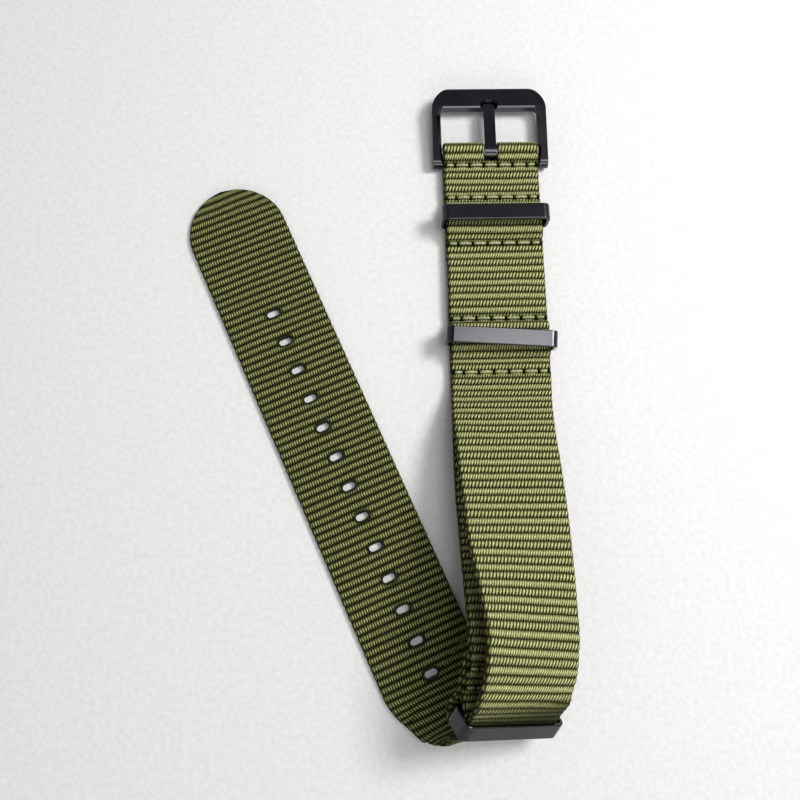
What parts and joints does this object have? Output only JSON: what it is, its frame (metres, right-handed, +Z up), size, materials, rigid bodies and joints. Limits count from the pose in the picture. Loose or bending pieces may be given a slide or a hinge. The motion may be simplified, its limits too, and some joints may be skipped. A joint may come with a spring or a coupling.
{
  "type": "watch_strap",
  "caption": "Olive nylon pass-through watch strap with a black pin buckle, keeper rings and an end ring, folded as laid on a table",
  "frame": {"origin": "on the flat underside of the sewn leg, under the flat part of the keeper strap, in the middle of its width", "axes": "+X across the sewn leg, +Y along it towards the buckle, +Z up from the table"},
  "size_m": [0.0819, 0.1432, 0.0265],
  "materials": {
    "olive_webbing": "woven nylon with cross ribs",
    "olive_thread": "twisted sewing thread",
    "black_hardware": "satin black coating",
    "bar_steel": "plain steel"
  },
  "bodies": {
    "webbing": {"long_strap": "olive_webbing", "keeper_strap": "olive_webbing", "needle_thread_buckle_end": "olive_thread", "bobbin_thread_buckle_end": "olive_thread", "needle_thread_upper_ring_front": "olive_thread", "bobbin_thread_upper_ring_front": "olive_thread", "needle_thread_upper_ring_back": "olive_thread", "bobbin_thread_upper_ring_back": "olive_thread", "needle_thread_lower_ring_front": "olive_thread", "bobbin_thread_lower_ring_front": "olive_thread", "needle_thread_lower_ring_back": "olive_thread", "bobbin_thread_lower_ring_back": "olive_thread", "needle_thread_end_ring_near": "olive_thread", "bobbin_thread_end_ring_near": "olive_thread", "needle_thread_end_ring_far": "olive_thread", "bobbin_thread_end_ring_far": "olive_thread"},
    "buckle": {"buckle_frame": "black_hardware", "spring_bar_barrel": "bar_steel", "spring_bar_spring": "bar_steel"},
    "tongue": {"buckle_tongue": "black_hardware"},
    "pin_left": {"spring_bar_pin_left": "bar_steel"},
    "pin_right": {"spring_bar_pin_right": "bar_steel"},
    "upper_ring": {"keeper_ring_upper": "black_hardware"},
    "lower_ring": {"keeper_ring_lower": "black_hardware"},
    "end_ring": {"strap_end_ring": "black_hardware"}
  },
  "joints": [
    {"name": "buckle_swing", "type": "hinge", "parent": "webbing", "child": "buckle", "pos_m": [0, 0.0607, 0.00225], "axis": [1, 0, 0], "range_deg": [-20, 25]},
    {"name": "tongue_swing", "type": "hinge", "parent": "buckle", "child": "tongue", "pos_m": [0, 0.0607, 0.00225], "axis": [1, 0, 0], "range_deg": [0, 90]},
    {"name": "pin_left_slide", "type": "slide", "parent": "buckle", "child": "pin_left", "axis": [1, 0, 0], "range_m": [0, 0.00125], "stiffness_N_per_m": 400, "springref_m": -0.0005, "deforming": ["spring_bar_spring"]},
    {"name": "pin_right_slide", "type": "slide", "parent": "buckle", "child": "pin_right", "axis": [-1, 0, 0], "range_m": [0, 0.00125], "stiffness_N_per_m": 400, "springref_m": -0.0005},
    {"name": "upper_ring_rock", "type": "hinge", "parent": "webbing", "child": "upper_ring", "pos_m": [0, 0.0437, 0.00215], "axis": [1, 0, 0], "range_deg": [-11, 11]},
    {"name": "lower_ring_rock", "type": "hinge", "parent": "webbing", "child": "lower_ring", "pos_m": [0, 0.0156, 0.00215], "axis": [0.9976, -0.0698, 0], "range_deg": [-15, 4]},
    {"name": "end_ring_rock", "type": "hinge", "parent": "webbing", "child": "end_ring", "pos_m": [-0.00472, -0.06091, 0.01028], "axis": [0.8448, -0.0739, -0.5299], "range_deg": [-3, 3]}
  ]
}
